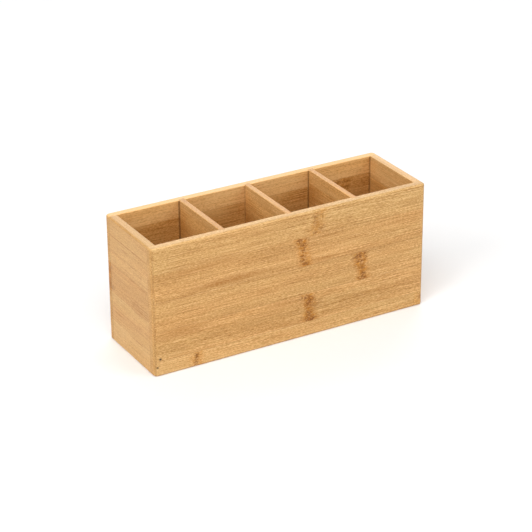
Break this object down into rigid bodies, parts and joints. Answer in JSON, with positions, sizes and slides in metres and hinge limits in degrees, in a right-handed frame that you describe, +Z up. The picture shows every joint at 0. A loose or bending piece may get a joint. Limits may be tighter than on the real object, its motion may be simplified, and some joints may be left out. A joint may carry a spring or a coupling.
{
  "type": "pen holder",
  "caption": "Open rectangular desk box for pens, with equal compartments in a row between housed dividers, made of edge-glued bamboo boards.",
  "frame": {"origin": "middle of the base, on the surface that the box stands on", "axes": "+X along the row of compartments, which is the longest side; +Y from the front panel to the back panel, the shortest side; +Z up, out of the open top"},
  "size_m": [0.224, 0.071, 0.098],
  "materials": {
    "bamboo_panel": "sanded bamboo, thin clear satin lacquer",
    "bamboo_end": "sanded bamboo, thin clear satin lacquer",
    "bamboo_divider": "sanded bamboo, thin clear satin lacquer",
    "bamboo_bottom": "sanded bamboo, thin clear satin lacquer"
  },
  "bodies": {
    "root": {"front_panel_stave_1": "bamboo_panel", "front_panel_stave_2": "bamboo_panel", "front_panel_stave_3": "bamboo_panel", "front_panel_stave_4": "bamboo_panel", "front_panel_stave_5": "bamboo_panel", "back_panel_stave_1": "bamboo_panel", "back_panel_stave_2": "bamboo_panel", "back_panel_stave_3": "bamboo_panel", "back_panel_stave_4": "bamboo_panel", "back_panel_stave_5": "bamboo_panel", "left_end_stave_1": "bamboo_end", "left_end_stave_2": "bamboo_end", "left_end_stave_3": "bamboo_end", "left_end_stave_4": "bamboo_end", "left_end_stave_5": "bamboo_end", "right_end_stave_1": "bamboo_end", "right_end_stave_2": "bamboo_end", "right_end_stave_3": "bamboo_end", "right_end_stave_4": "bamboo_end", "right_end_stave_5": "bamboo_end", "divider_left_stave_1": "bamboo_divider", "divider_left_stave_2": "bamboo_divider", "divider_left_stave_3": "bamboo_divider", "divider_left_stave_4": "bamboo_divider", "divider_left_stave_5": "bamboo_divider", "divider_middle_stave_1": "bamboo_divider", "divider_middle_stave_2": "bamboo_divider", "divider_middle_stave_3": "bamboo_divider", "divider_middle_stave_4": "bamboo_divider", "divider_middle_stave_5": "bamboo_divider", "divider_right_stave_1": "bamboo_divider", "divider_right_stave_2": "bamboo_divider", "divider_right_stave_3": "bamboo_divider", "divider_right_stave_4": "bamboo_divider", "divider_right_stave_5": "bamboo_divider", "bottom_panel_stave_1": "bamboo_bottom", "bottom_panel_stave_2": "bamboo_bottom", "bottom_panel_stave_3": "bamboo_bottom"}
  },
  "joints": []
}
